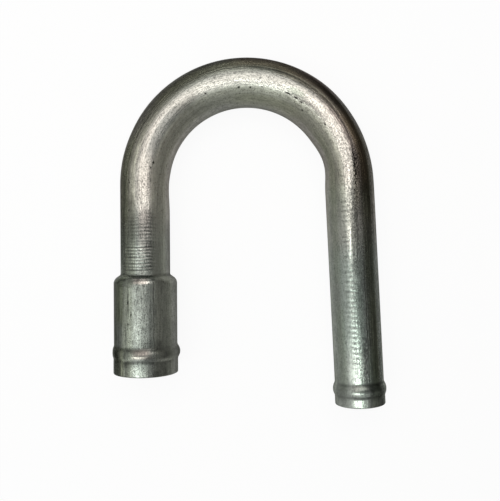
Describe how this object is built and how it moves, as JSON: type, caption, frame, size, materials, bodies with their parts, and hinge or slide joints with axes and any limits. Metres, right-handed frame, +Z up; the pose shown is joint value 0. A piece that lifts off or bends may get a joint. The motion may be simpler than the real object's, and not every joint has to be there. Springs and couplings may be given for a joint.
{
  "type": "u-bend adapter",
  "caption": "Bent metal tube, a U-bend that joins a smaller hose to a larger one, with a swaged socket end and rolled beads.",
  "frame": {"origin": "on the floor that it lies on, below the middle of its bounding box", "axes": "+Z up from the floor, +Y from the open ends towards the top of the bend, the socket on the -X side"},
  "size_m": [0.1402, 0.1782, 0.0342],
  "materials": {
    "tube_metal": "drawn and tarnished, satin, with chatter marks from the bender"
  },
  "bodies": {
    "root": {"bent_tube": "tube_metal"}
  },
  "joints": []
}
